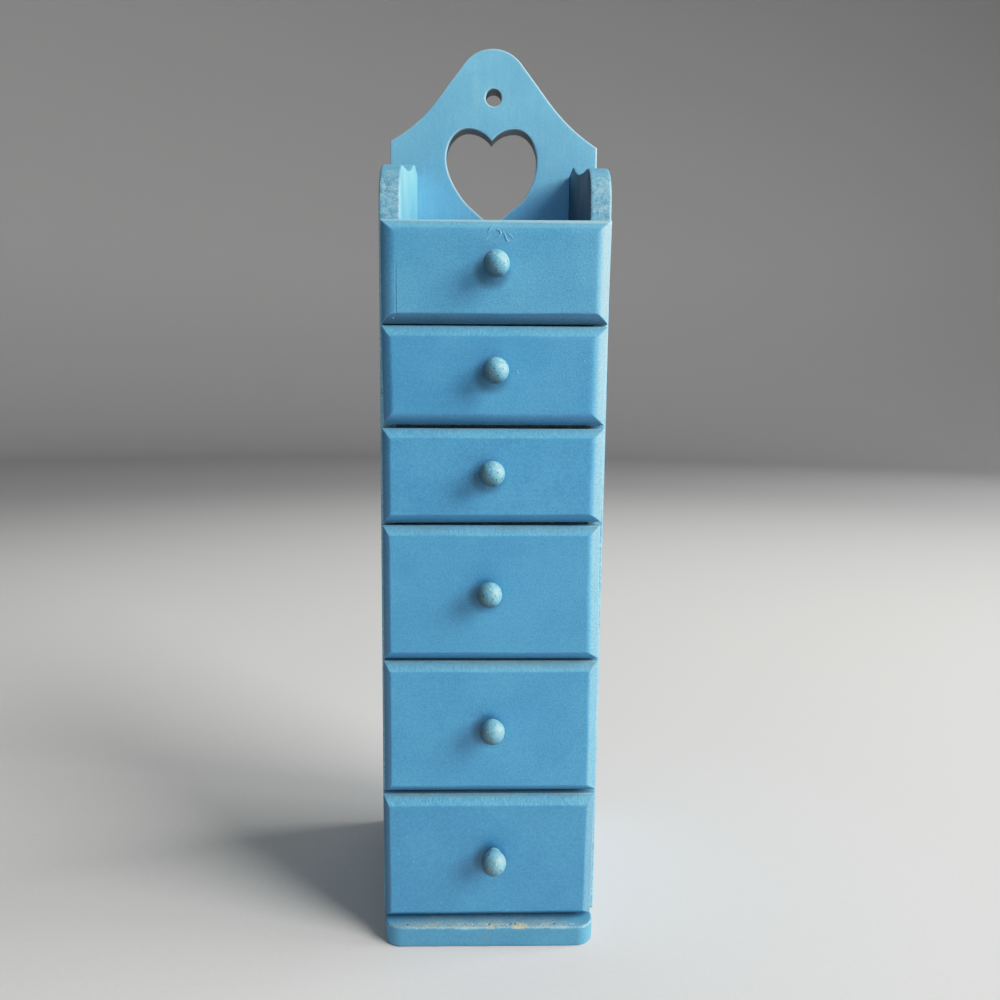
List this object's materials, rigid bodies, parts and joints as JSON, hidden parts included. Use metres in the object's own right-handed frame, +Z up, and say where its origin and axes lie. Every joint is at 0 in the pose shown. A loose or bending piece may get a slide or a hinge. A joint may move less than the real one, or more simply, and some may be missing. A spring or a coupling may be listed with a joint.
{
  "type": "spice drawer cabinet",
  "caption": "Tall narrow wooden cabinet of small chamfered drawers with round knobs, an open top tray and a pointed crest with a cut-out heart and a hanging hole.",
  "frame": {"origin": "middle of the footprint from the knobs' tips to the back board, on the table", "axes": "+Z up, +Y to the back, +X to the right as one faces the drawers"},
  "size_m": [0.127, 0.1324, 0.4973],
  "materials": {
    "painted_wood": "satin sky-blue paint, worn pale along the edges",
    "bare_wood": "bare pine",
    "steel": "dull zinc"
  },
  "bodies": {
    "case": {"back_board": "painted_wood", "side_left": "painted_wood", "side_right": "painted_wood", "base_board": "painted_wood", "top_shelf": "painted_wood", "back_nails": "steel", "base_screws": "steel", "divider_5": "painted_wood", "divider_4": "painted_wood", "divider_3": "painted_wood", "divider_2": "painted_wood", "divider_1": "painted_wood"},
    "drawer_1": {"drawer_1_front": "painted_wood", "drawer_1_side_left": "bare_wood", "drawer_1_side_right": "bare_wood", "drawer_1_back": "bare_wood", "drawer_1_bottom": "bare_wood", "drawer_1_knob": "painted_wood", "drawer_1_knob_screw": "steel", "drawer_1_brads": "steel"},
    "drawer_2": {"drawer_2_front": "painted_wood", "drawer_2_side_left": "bare_wood", "drawer_2_side_right": "bare_wood", "drawer_2_back": "bare_wood", "drawer_2_bottom": "bare_wood", "drawer_2_knob": "painted_wood", "drawer_2_knob_screw": "steel", "drawer_2_brads": "steel"},
    "drawer_3": {"drawer_3_front": "painted_wood", "drawer_3_side_left": "bare_wood", "drawer_3_side_right": "bare_wood", "drawer_3_back": "bare_wood", "drawer_3_bottom": "bare_wood", "drawer_3_knob": "painted_wood", "drawer_3_knob_screw": "steel", "drawer_3_brads": "steel"},
    "drawer_4": {"drawer_4_front": "painted_wood", "drawer_4_side_left": "bare_wood", "drawer_4_side_right": "bare_wood", "drawer_4_back": "bare_wood", "drawer_4_bottom": "bare_wood", "drawer_4_knob": "painted_wood", "drawer_4_knob_screw": "steel", "drawer_4_brads": "steel"},
    "drawer_5": {"drawer_5_front": "painted_wood", "drawer_5_side_left": "bare_wood", "drawer_5_side_right": "bare_wood", "drawer_5_back": "bare_wood", "drawer_5_bottom": "bare_wood", "drawer_5_knob": "painted_wood", "drawer_5_knob_screw": "steel", "drawer_5_brads": "steel"},
    "drawer_6": {"drawer_6_front": "painted_wood", "drawer_6_side_left": "bare_wood", "drawer_6_side_right": "bare_wood", "drawer_6_back": "bare_wood", "drawer_6_bottom": "bare_wood", "drawer_6_knob": "painted_wood", "drawer_6_knob_screw": "steel", "drawer_6_brads": "steel"}
  },
  "joints": [
    {"name": "drawer_1_slide", "type": "slide", "parent": "case", "child": "drawer_1", "axis": [0, -1, 0], "range_m": [0, 0.112]},
    {"name": "drawer_2_slide", "type": "slide", "parent": "case", "child": "drawer_2", "axis": [0, -1, 0], "range_m": [0, 0.112]},
    {"name": "drawer_3_slide", "type": "slide", "parent": "case", "child": "drawer_3", "axis": [0, -1, 0], "range_m": [0, 0.112]},
    {"name": "drawer_4_slide", "type": "slide", "parent": "case", "child": "drawer_4", "axis": [0, -1, 0], "range_m": [0, 0.112]},
    {"name": "drawer_5_slide", "type": "slide", "parent": "case", "child": "drawer_5", "axis": [0, -1, 0], "range_m": [0, 0.112]},
    {"name": "drawer_6_slide", "type": "slide", "parent": "case", "child": "drawer_6", "axis": [0, -1, 0], "range_m": [0, 0.112]}
  ]
}
